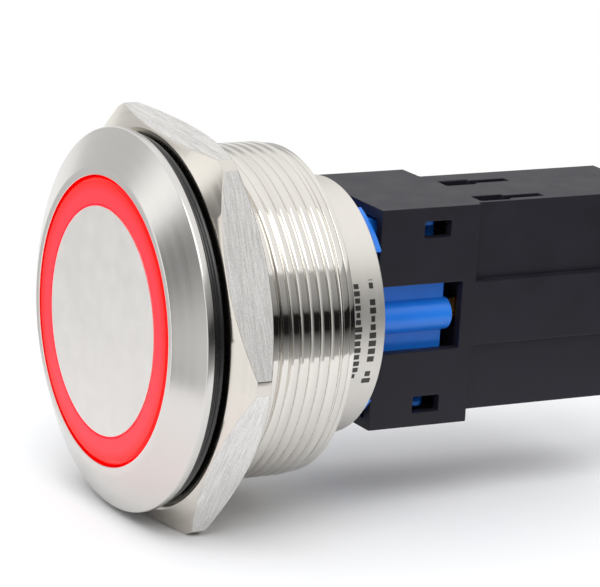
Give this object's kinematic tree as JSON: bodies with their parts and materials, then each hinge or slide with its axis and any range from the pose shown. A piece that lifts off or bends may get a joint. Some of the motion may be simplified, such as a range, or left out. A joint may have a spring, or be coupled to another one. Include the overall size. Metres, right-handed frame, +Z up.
{
  "type": "illuminated push button switch",
  "caption": "Round metal push button with a red light ring, a threaded barrel, a hexagon nut, a switch block with rocker contacts and a pull-off plug connector.",
  "frame": {"origin": "on the button's axis, in the plane of the head's flat back, which rests on the panel", "axes": "the cap faces -Y, the plug leaves along +Y, +Z is up with the connector's tall side upright"},
  "size_m": [0.0388, 0.0533, 0.0352],
  "materials": {
    "turned_steel": "turned stainless steel, satin",
    "cap_steel": "fine blasted stainless steel, matte",
    "spring_steel": "drawn wire, smooth",
    "brass": "stamped, bright",
    "copper_alloy": "stamped contact alloy, satin",
    "red_light": "clear light guide, lit red",
    "rubber": "smooth black rubber",
    "black_plastic": "fine spark-eroded texture",
    "blue_plastic": "moulded, satin gloss",
    "white_plastic": "moulded, satin",
    "board": "coated circuit board"
  },
  "bodies": {
    "barrel": {"barrel_housing": "turned_steel", "base_snap_ring": "spring_steel", "panel_seal": "rubber", "light_ring": "red_light", "led_board": "board", "led_1": "white_plastic", "led_2": "white_plastic", "led_3": "white_plastic", "led_4": "white_plastic", "lamp_lead_plus": "rubber", "lamp_lead_minus": "rubber", "stem_guide": "blue_plastic", "inner_sleeve": "white_plastic", "return_spring": "spring_steel", "switch_base": "blue_plastic", "rocker_axle": "spring_steel", "terminal_nc_1": "brass", "terminal_common_1": "brass", "terminal_no_1": "brass", "terminal_nc_2": "brass", "terminal_common_2": "brass", "terminal_no_2": "brass", "terminal_lamp_minus": "brass", "terminal_lamp_plus": "brass"},
    "press": {"actuator_cap": "cap_steel", "cap_seal": "rubber", "actuator_stem": "white_plastic", "stem_clip": "spring_steel", "contact_driver": "white_plastic", "pole_spring_1": "spring_steel", "pole_spring_2": "spring_steel"},
    "rocker_1": {"contact_rocker_1": "copper_alloy"},
    "rocker_2": {"contact_rocker_2": "copper_alloy"},
    "nut": {"hex_nut": "turned_steel"},
    "plug": {"plug_housing": "black_plastic", "socket_nc_1": "brass", "socket_common_1": "brass", "socket_no_1": "brass", "socket_nc_2": "brass", "socket_common_2": "brass", "socket_no_2": "brass", "socket_lamp_minus": "brass", "socket_lamp_plus": "brass"}
  },
  "joints": [
    {"name": "press_slide", "type": "slide", "parent": "barrel", "child": "press", "axis": [0, 1, 0], "range_m": [0, 0.0025], "stiffness_N_per_m": 800, "springref_m": -0.0035, "deforming": ["return_spring", "pole_spring_1", "pole_spring_2"]},
    {"name": "rocker_1_tilt", "type": "hinge", "parent": "barrel", "child": "rocker_1", "pos_m": [-0.0026, 0.0129, 0], "axis": [-1, 0, 0], "range_deg": [0, 9.6]},
    {"name": "rocker_2_tilt", "type": "hinge", "parent": "barrel", "child": "rocker_2", "pos_m": [0.0026, 0.0129, 0], "axis": [-1, 0, 0], "range_deg": [0, 9.6]},
    {"name": "nut_travel", "type": "slide", "parent": "barrel", "child": "nut", "axis": [0, 1, 0], "range_m": [0, 0.009]},
    {"name": "plug_pull", "type": "slide", "parent": "barrel", "child": "plug", "axis": [0, 1, 0], "range_m": [0, 0.016]}
  ],
  "couplings": [
    {"joint": "rocker_1_tilt", "follows": "press_slide", "rad_per_m": 67},
    {"joint": "rocker_2_tilt", "follows": "press_slide", "rad_per_m": 67}
  ]
}
